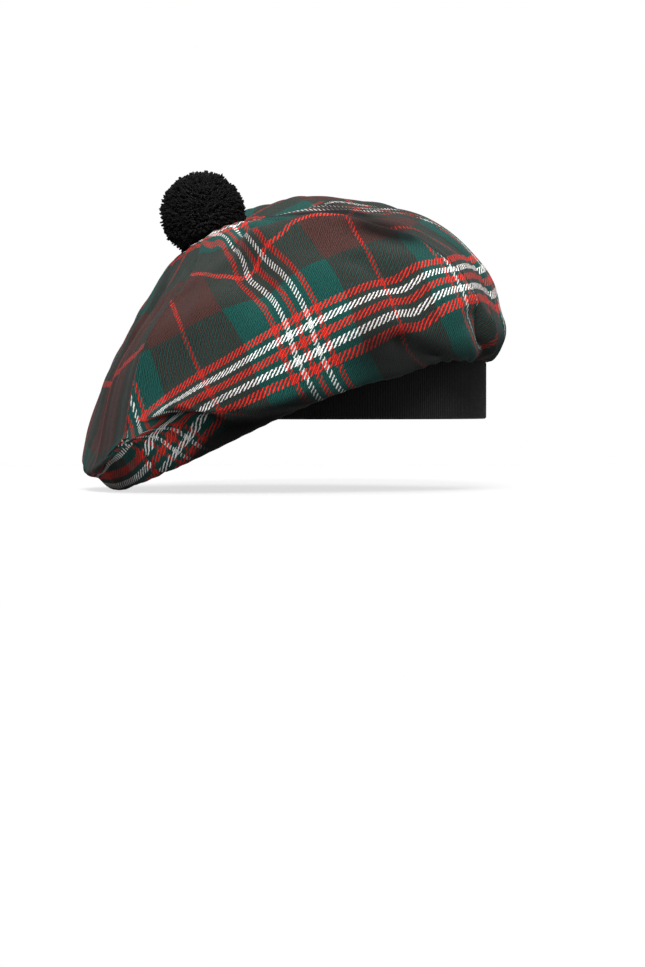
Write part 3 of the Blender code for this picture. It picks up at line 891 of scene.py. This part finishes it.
def make_band(settings):
    """The ribbed band: its profile turned round the axis. The outside is set in by the ribs' depth times
    1 - (0.5 + 0.5 cos(ribs x angle)) ^ RIB_POWER."""
    columns = RIB_COLUMNS * settings.ribs
    turns = 2.0 * math.pi * np.arange(columns)[:, None] / columns
    rib = (0.5 + 0.5 * np.cos(settings.ribs * turns)) ** RIB_POWER
    radius, height, ribbed = np.array(band_profile()).T
    r = radius - settings.rib_depth * ribbed * (1.0 - rib)
    z = height + 0.0 * r
    points = np.stack([r * np.cos(turns), r * np.sin(turns), z], -1)
    rows = len(height)
    i, j = np.meshgrid(np.arange(columns), np.arange(rows), indexing="ij")
    k = (i + 1) % columns
    n = (j + 1) % rows
    faces = np.stack([i * rows + j, k * rows + j, k * rows + n, i * rows + n], -1).reshape(-1, 4)
    uv = np.stack([turns * BAND_RADIUS + 0.0 * z, z], -1).reshape(-1, 2)
    band = new_object("knit_band", points.reshape(-1, 3), faces, uv)
    band.data.materials.append(knit(settings))
    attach(band, "root")
    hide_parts("headband")


def make_lining(settings):
    """The lining: straight up inside the band, then a dome whose radius is the cosine and height the
    sine of a quarter turn, gathered to a point that leans to the left. Its folds are two sines round
    the axis, which set the cloth in and down, and they deepen towards the top."""
    turns = 2.0 * math.pi * np.arange(LINING_COLUMNS)[:, None] / LINING_COLUMNS
    rim = BAND_RADIUS - BAND_WALL - GAP - LINING_CLOTH
    straight = BAND_HEIGHT + LINING_STEP
    t = np.linspace(0.0, LINING_END, LINING_ROWS)
    wall = np.linspace(LINING_FOOT * BAND_HEIGHT, straight, 9)[:-1]
    dome = straight + (LINING_HEIGHT - straight) * np.sin(0.5 * math.pi * t)
    height = np.concatenate([wall, dome])
    share = np.concatenate([np.ones(len(wall)), np.cos(0.5 * math.pi * t)])
    free = np.concatenate([np.zeros(len(wall)), smooth(t / LINING_FREE)])
    large = np.sin(settings.pleats * turns + 0.9 * np.sin(5.0 * turns))
    small = np.sin(math.floor(SMALL_PLEATS * settings.pleats) * turns + 1.0)
    wave = 0.5 + 0.5 * (0.6 * large + 0.4 * small)
    r = rim * share * (1.0 - PLEAT_DEPTH * free * (0.25 + 0.75 * (1.0 - share)) * wave)
    z = height - PLEAT_DROP * free * wave * (1.0 - 0.3 * share)
    lean = LINING_LEAN * BAND_RADIUS * np.clip((height - straight) / (LINING_HEIGHT - straight), 0.0, 1.0)
    points = np.stack([lean + r * np.cos(turns), r * np.sin(turns), z], -1)
    around = np.roll(points, -1, 0) - np.roll(points, 1, 0)
    out = unit(np.cross(around, np.gradient(points, axis=1)))
    both = np.concatenate([(points + out * LINING_CLOTH).reshape(-1, 3), points.reshape(-1, 3)])
    run = run_of(points, 1)
    uv = grid_uv(turns * BAND_RADIUS + 0.0 * z, run)
    faces = sheet_faces(LINING_COLUMNS, len(share), True)[:, ::-1]
    lining = new_object("satin_lining", both, faces, uv)
    lining.data.materials.append(satin())
    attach(lining, "root")
    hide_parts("lining")


def pompom_place():
    """Centre of the pompom, and points on the cloth under it with their outward directions. The centre
    lies a share of the radius out from the crown's centre, along POMPOM_WAY."""
    a, s = np.meshgrid(np.linspace(0.0, 5.99, 120), np.linspace(0.005, 0.32, 60), indexing="ij")
    cloth = crown_base(a, s)
    up = out_of(cloth)
    cloth = cloth + up * (fold_lift(a, s) + CORE_GAP)[..., None]
    top = crown_base(np.array([[0.5]]), np.array([[0.005]]))[0, 0]
    centre = top + np.array(POMPOM_WAY) * POMPOM_RADIUS * POMPOM_SEAT + np.array(POMPOM_NUDGE)
    return centre, cloth.reshape(-1, 3), up.reshape(-1, 3)


def clear_of(points, cloth, up, gap):
    """Points moved out to at least a gap over the cloth, and each one's height over it: its way from
    the nearest place on the cloth, times the outward direction there."""
    block = 2000
    height = np.full(len(points), 1.0)
    way = np.zeros((len(points), 3))
    for start in range(0, len(points), block):
        part = points[start:start + block]
        away = np.linalg.norm(part[:, None] - cloth[None], axis=-1)
        nearest = away.argmin(1)
        over = ((part - cloth[nearest]) * up[nearest]).sum(-1)
        height[start:start + block] = np.where(away.min(1) < POMPOM_RADIUS, over, 1.0)
        way[start:start + block] = up[nearest]
    return points + way * np.maximum(gap - height, 0.0)[:, None], height


def pompom_core(centre, cloth, up):
    """Points and triangles of the pompom's core: a ball with a product of three sines as its bumps, kept
    clear of the cloth."""
    work = bmesh.new()
    bmesh.ops.create_icosphere(work, subdivisions=5, radius=1.0)
    ball = bpy.data.meshes.new("core")
    work.to_mesh(ball)
    work.free()
    core = np.zeros(3 * len(ball.vertices), dtype=np.float32)
    ball.vertices.foreach_get("co", core)
    faces = np.zeros(len(ball.loops), dtype=np.int32)
    ball.loops.foreach_get("vertex_index", faces)
    bpy.data.meshes.remove(ball)
    core = core.astype(float).reshape(-1, 3)
    bumps = np.sin(core[:, 0] * 31.0 + 1.0) * np.sin(core[:, 1] * 29.0) * np.sin(core[:, 2] * 33.0 + 2.0)
    core = centre + core * POMPOM_RADIUS * (CORE_SHARE + CORE_BUMPS * bumps)[:, None]
    for _ in range(3):
        core = clear_of(core, cloth, up, CORE_GAP)[0]
    return core, faces.reshape(-1, 3)


def yarn_ends(count, centre, cloth, up):
    """Points, quads and end faces of the cut ends of yarn. They stand on a spiral over the ball: the
    height falls evenly from 1 to -1 and each end turns on by pi (3 - sqrt 5), with a little chance.
    Each is a tube through the rings of END_RINGS. Ends that would touch the cloth are left out."""
    chance = np.random.RandomState(11)
    k = np.arange(count) + 0.5
    z = 1.0 - 2.0 * k / count
    turn = k * math.pi * (3.0 - math.sqrt(5.0))
    ring = np.sqrt(1.0 - z * z)
    way = np.stack([ring * np.cos(turn), ring * np.sin(turn), z], -1)
    way = unit(way + END_SCATTER * chance.normal(size=way.shape))
    bend = unit(way + END_BEND * chance.normal(size=way.shape))
    x, y, z = way.T
    tufts = np.sin(x * 9.0 + 1.0) * np.sin(y * 8.0) + np.sin(z * 11.0 + 2.0) * np.sin(x * 13.0)
    loose = chance.normal(size=count).clip(-1.5, 1.8)
    reach = POMPOM_RADIUS * (END_REACH + END_TUFTS * tufts + END_LOOSE * loose)
    start = centre + way * POMPOM_RADIUS * END_ROOT
    tip = centre + way * reach[:, None] + (bend - way) * POMPOM_RADIUS * END_SWAY
    keep = clear_of(tip, cloth, up, 0.0)[1] > END_GAP
    start, tip, way = start[keep], tip[keep], way[keep]
    thick = END_RADIUS + END_RADIUS_SPREAD * chance.uniform(-1.0, 1.0, len(tip))
    side = unit(np.cross(way, unit(chance.normal(size=way.shape))))
    other = np.cross(way, side)
    turns = 2.0 * math.pi * np.arange(END_SIDES)[None, :, None] / END_SIDES
    circle = side[:, None] * np.cos(turns) + other[:, None] * np.sin(turns)
    rings = []
    for share, wide in END_RINGS:
        middle = start + (tip - start) * share
        rings.append(middle[:, None] + circle * (thick * wide)[:, None, None])
    points = np.stack(rings, 1).reshape(-1, 3)
    last = (len(END_RINGS) - 1) * END_SIDES
    base = np.arange(len(tip)) * (last + END_SIDES)
    row, i = np.meshgrid(np.arange(0, last, END_SIDES), np.arange(END_SIDES), indexing="ij")
    k = (i + 1) % END_SIDES
    tube = np.stack([row + i, row + k, row + END_SIDES + k, row + END_SIDES + i], -1).reshape(-1, 4)
    quads = (base[None, :, None] + tube[:, None]).reshape(-1, 4)
    caps = base[:, None] + last + np.arange(END_SIDES)
    feet = base[:, None] + np.arange(END_SIDES)[::-1]
    return points, quads, np.concatenate([caps, feet])


def make_pompom(settings):
    """The pompom: a core with cut ends of yarn standing out of it all round."""
    seat = pompom_place()
    core, triangles = pompom_core(*seat)
    ends, quads, caps = yarn_ends(settings.ends, *seat)
    faces = triangles.tolist() + (quads + len(core)).tolist() + (caps + len(core)).tolist()
    ball = new_object("yarn_pompom", np.concatenate([core, ends]), faces)
    ball.data.materials.append(yarn())
    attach(ball, "root")
    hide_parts("pompom")


def make_floor():
    """A plain pale floor just under the hat's lowest point."""
    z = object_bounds()[0][2] - FLOOR_DROP
    corners = ((-1.0, -1.0), (1.0, -1.0), (1.0, 1.0), (-1.0, 1.0))
    points = np.array([(FLOOR_HALF * x, FLOOR_HALF * y, z) for x, y in corners])
    floor = new_object("floor", points, [(0, 1, 2, 3)])
    floor.data.materials.append(studio_floor())
    floor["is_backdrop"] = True


def make_sky(settings):
    """White sky for the camera. As light it grows evenly with the height, from SKY_LOW to the fill."""
    world = bpy.data.worlds.new("studio")
    world.use_nodes = True
    world.node_tree.nodes.clear()
    add = functools.partial(add_node, world.node_tree)
    height = add("ShaderNodeSeparateXYZ", (add("ShaderNodeTexCoord", (), "Generated"),), 2)
    dome = add("ShaderNodeMapRange", {
        "Value": height, "From Min": SKY_FROM, "To Min": SKY_LOW, "To Max": settings.fill,
    })
    seen = add("ShaderNodeLightPath", (), "Is Camera Ray")
    level = add("ShaderNodeMapRange", {"Value": seen, "To Min": dome, "To Max": 1.0})
    sky = add("ShaderNodeBackground", {"Color": (1.0, 1.0, 1.0, 1.0), "Strength": level})
    add("ShaderNodeOutputWorld", (sky,), None)
    bpy.context.scene.world = world


def make_lamps(settings):
    """The soft lamps, each turned to the same point of the hat."""
    for name, place, wide in LAMPS:
        light = bpy.data.lights.new(name, "AREA")
        light.size = wide
        light.energy = getattr(settings, name)
        lamp = bpy.data.objects.new(name, light)
        lamp.location = place
        way = Vector(LAMP_AIM) - Vector(place)
        lamp.rotation_euler = way.to_track_quat("-Z", "Y").to_euler()
        bpy.context.collection.objects.link(lamp)


def make_camera():
    """The camera in front of the hat. Its lens gives the photograph's scale: sensor x pixels per metre
    x distance / pixels of the picture's height."""
    camera = bpy.data.objects.new("camera", bpy.data.cameras.new("camera"))
    way = np.array([0.0, -math.cos(CAMERA_RISE), math.sin(CAMERA_RISE)])
    camera.location = np.array(CAMERA_TARGET) + CAMERA_AWAY * way
    camera.rotation_euler = (math.radians(90.0) - CAMERA_RISE, 0.0, 0.0)
    camera.data.sensor_width = SENSOR
    camera.data.lens = SENSOR * PIXELS_PER_METRE * CAMERA_AWAY / PICTURE_HEIGHT
    camera.data.clip_start = 0.05
    bpy.context.collection.objects.link(camera)
    bpy.context.scene.camera = camera
    bpy.context.scene.view_settings.view_transform = "Standard"


def make_stage(settings):
    """The studio: floor, sky, lamps and camera."""
    make_floor()
    make_sky(settings)
    make_lamps(settings)
    make_camera()


class HatSettings(bpy.types.PropertyGroup):
    """Settings of the hat's looks."""

    green: FloatVectorProperty(
        name="Green thread", description="Colour of the green threads",
        default=colour("#154A44"), size=4, subtype="COLOR", min=0.0, max=1.0)
    brown: FloatVectorProperty(
        name="Brown thread", description="Colour of the brown threads",
        default=colour("#482E2A"), size=4, subtype="COLOR", min=0.0, max=1.0)
    red: FloatVectorProperty(
        name="Red thread", description="Colour of the red threads",
        default=colour("#E0342A"), size=4, subtype="COLOR", min=0.0, max=1.0)
    white: FloatVectorProperty(
        name="White thread", description="Colour of the white threads",
        default=colour("#FBFBF8"), size=4, subtype="COLOR", min=0.0, max=1.0)
    knit: FloatVectorProperty(
        name="Knit", description="Colour of the band's yarn",
        default=colour("#0E0D0D"), size=4, subtype="COLOR", min=0.0, max=1.0)
    warp_light: FloatProperty(
        name="Warp stripes", description="Share of light that the red and white lines of the warp keep",
        default=0.70, min=0.0, max=1.0, subtype="FACTOR")
    half_across: FloatProperty(
        name="Half repeat across", description="Half a repeat of the pattern across a gore",
        default=0.055, min=0.01, unit="LENGTH")
    half_along: FloatProperty(
        name="Half repeat along", description="Half a repeat of the pattern from the crown's centre outwards",
        default=0.071, min=0.01, unit="LENGTH")
    twill: FloatProperty(
        name="Twill repeat", description="Width of one diagonal of the twill, as it shows in the photo",
        default=0.0027, min=0.0005, unit="LENGTH")
    weft_share: FloatProperty(
        name="Weft share", description="Share of the twill in which the weft shows",
        default=0.54, min=0.1, max=0.9, subtype="FACTOR")
    columns: IntProperty(
        name="Columns of a gore", description="Columns of the mesh of a gore, twice as many at the front",
        default=110, min=20)
    rows: IntProperty(
        name="Rows of a gore", description="Rows of the mesh of a gore",
        default=190, min=20)
    ribs: IntProperty(
        name="Ribs", description="Number of ribs round the band",
        default=380, min=20)
    rib_depth: FloatProperty(
        name="Rib depth", description="How deep the grooves between the ribs are",
        default=0.0005, min=0.0, unit="LENGTH")
    pleats: IntProperty(
        name="Lining folds", description="Number of folds round the lining",
        default=26, min=4)
    ends: IntProperty(
        name="Ends of yarn", description="Number of cut ends on the pompom",
        default=5200, min=100)
    fill: FloatProperty(
        name="Fill light", description="Strength of the light from the studio's sky",
        default=0.34, min=0.0)
    key: FloatProperty(
        name="Key light", description="Power of the large lamp in front",
        default=46.0, min=0.0, unit="POWER")
    side: FloatProperty(
        name="Side light", description="Power of the lamp at the right",
        default=8.0, min=0.0, unit="POWER")
    top: FloatProperty(
        name="Top light", description="Power of the lamp above",
        default=24.0, min=0.0, unit="POWER")


class HAT_OT_crown(bpy.types.Operator):
    """Make the six gores of the crown"""

    bl_idname = "hat.crown"
    bl_label = "Crown"
    bl_options = {"REGISTER", "UNDO"}

    def execute(self, context):
        make_crown(context.scene.hat_settings)
        return {"FINISHED"}


class HAT_OT_band(bpy.types.Operator):
    """Make the ribbed headband"""

    bl_idname = "hat.band"
    bl_label = "Headband"
    bl_options = {"REGISTER", "UNDO"}

    def execute(self, context):
        make_band(context.scene.hat_settings)
        return {"FINISHED"}


class HAT_OT_lining(bpy.types.Operator):
    """Make the satin lining"""

    bl_idname = "hat.lining"
    bl_label = "Lining"
    bl_options = {"REGISTER", "UNDO"}

    def execute(self, context):
        make_lining(context.scene.hat_settings)
        return {"FINISHED"}


class HAT_OT_pompom(bpy.types.Operator):
    """Make the yarn pompom"""

    bl_idname = "hat.pompom"
    bl_label = "Pompom"
    bl_options = {"REGISTER", "UNDO"}

    def execute(self, context):
        make_pompom(context.scene.hat_settings)
        return {"FINISHED"}


class HAT_OT_stage(bpy.types.Operator):
    """Make the studio floor, its lights and the camera"""

    bl_idname = "hat.stage"
    bl_label = "Studio and camera"
    bl_options = {"REGISTER", "UNDO"}

    def execute(self, context):
        make_stage(context.scene.hat_settings)
        return {"FINISHED"}


class HAT_PT_panel(bpy.types.Panel):
    """The hat's settings, and a button for each group of its pieces"""

    bl_label = "Tam o shanter"
    bl_idname = "HAT_PT_panel"
    bl_space_type = "VIEW_3D"
    bl_region_type = "UI"
    bl_category = "Hat"

    def draw(self, context):
        settings = context.scene.hat_settings
        for name in HatSettings.__annotations__:
            self.layout.prop(settings, name)
        for operator in ("hat.crown", "hat.band", "hat.lining", "hat.pompom", "hat.stage"):
            self.layout.operator(operator)


CLASSES = (HatSettings, HAT_OT_crown, HAT_OT_band, HAT_OT_lining, HAT_OT_pompom, HAT_OT_stage, HAT_PT_panel)


def register():
    """Add the classes and the scene's settings."""
    for one in CLASSES:
        bpy.utils.register_class(one)
    bpy.types.Scene.hat_settings = PointerProperty(type=HatSettings)


def unregister():
    """Take away the settings and the classes."""
    del bpy.types.Scene.hat_settings
    for one in reversed(CLASSES):
        bpy.utils.unregister_class(one)


def main():
    """Make the hat and its studio."""
    register()
    bpy.ops.hat.crown()
    bpy.ops.hat.band()
    bpy.ops.hat.lining()
    bpy.ops.hat.pompom()
    bpy.ops.hat.stage()


if __name__ == "__main__":
    main()
